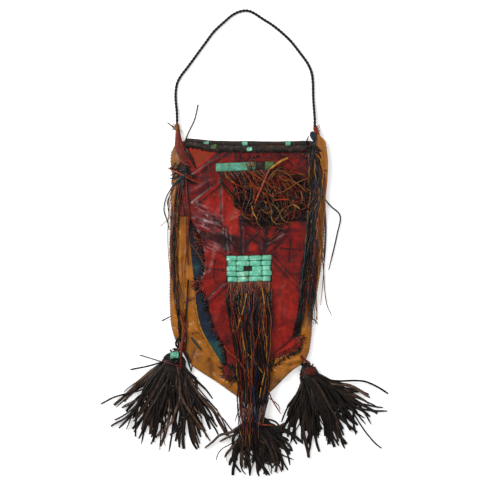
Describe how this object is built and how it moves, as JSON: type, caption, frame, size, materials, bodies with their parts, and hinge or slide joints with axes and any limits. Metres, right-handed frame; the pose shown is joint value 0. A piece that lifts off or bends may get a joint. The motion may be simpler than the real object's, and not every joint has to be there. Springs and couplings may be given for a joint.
{
  "type": "tasselled leather saddle bag",
  "caption": "Flat dyed-leather saddle bag lying on its back: open mouth, corded handle, woven plaque, long fringes and corner tassels that swing on ties.",
  "frame": {"origin": "on the underside of the back panel, behind the middle of the plaque", "axes": "+X to the bag's right seen from the front, +Y along the bag towards its mouth and handle, +Z out of the decorated front"},
  "size_m": [0.4824, 0.7957, 0.0221],
  "materials": {
    "tan_hide": "worn vegetable-tanned goatskin",
    "red_hide": "red-dyed goatskin, glossy from handling",
    "dark_leather": "black-dyed leather",
    "blue_leather": "indigo-dyed leather",
    "turquoise_leather": "verdigris-dyed leather, stained",
    "green_leather": "green-dyed leather",
    "ochre_leather": "natural leather binding",
    "thong_leather": "rolled thongs of mixed dyes",
    "tassel_leather": "dry dark-brown cut strips",
    "cord_leather": "twisted black-dyed leather"
  },
  "bodies": {
    "bag": {"back_panel": "tan_hide", "front_skin": "tan_hide", "front_panel": "red_hide", "left_border_top": "dark_leather", "left_border_middle": "blue_leather", "left_border_lower": "blue_leather", "right_border": "dark_leather", "right_trim_red": "red_hide", "right_trim_dark": "dark_leather", "left_trim": "red_hide", "mouth_binding_front": "dark_leather", "mouth_binding_back": "dark_leather", "front_tab_1": "turquoise_leather", "front_tab_2": "turquoise_leather", "back_tab_1": "turquoise_leather", "back_tab_2": "turquoise_leather", "back_tab_3": "turquoise_leather", "bar_turquoise": "turquoise_leather", "bar_dark": "dark_leather", "bar_green": "green_leather", "upper_fringe": "thong_leather", "plaque_backing": "dark_leather", "plaque_strip_1": "turquoise_leather", "plaque_strip_2": "turquoise_leather", "plaque_strip_3_left": "turquoise_leather", "plaque_strip_3_right": "turquoise_leather", "plaque_strip_4": "turquoise_leather", "plaque_strip_5": "turquoise_leather", "plaque_fringe": "thong_leather", "hanging_strap": "red_hide", "left_fringe": "thong_leather", "right_fringe": "thong_leather", "left_cord_tab": "red_hide", "right_cord_tab": "tan_hide", "blue_tab": "blue_leather", "left_cord_whipping": "ochre_leather", "right_cord_whipping": "ochre_leather", "handle_cord": "cord_leather", "left_tassel_tie": "red_hide", "right_tassel_tie": "red_hide", "bottom_tassel_tie": "red_hide"},
    "left_tassel": {"left_tassel_head": "tassel_leather", "left_tassel_binding": "turquoise_leather", "left_tassel_strips": "tassel_leather"},
    "right_tassel": {"right_tassel_head": "tassel_leather", "right_tassel_binding": "red_hide", "right_tassel_strips": "tassel_leather"},
    "bottom_tassel": {"bottom_tassel_head": "tassel_leather", "bottom_tassel_strips": "tassel_leather"}
  },
  "joints": [
    {"name": "left_tassel_swing", "type": "hinge", "parent": "bag", "child": "left_tassel", "pos_m": [-0.12403, -0.141, 0], "axis": [0, 0, 1], "range_deg": [-35, 0]},
    {"name": "right_tassel_swing", "type": "hinge", "parent": "bag", "child": "right_tassel", "pos_m": [0.10174, -0.16, 0], "axis": [0, 0, 1], "range_deg": [0, 35]},
    {"name": "bottom_tassel_swing", "type": "hinge", "parent": "bag", "child": "bottom_tassel", "pos_m": [0.007, -0.2355, 0], "axis": [0, 0, 1], "range_deg": [-6, 6]}
  ]
}
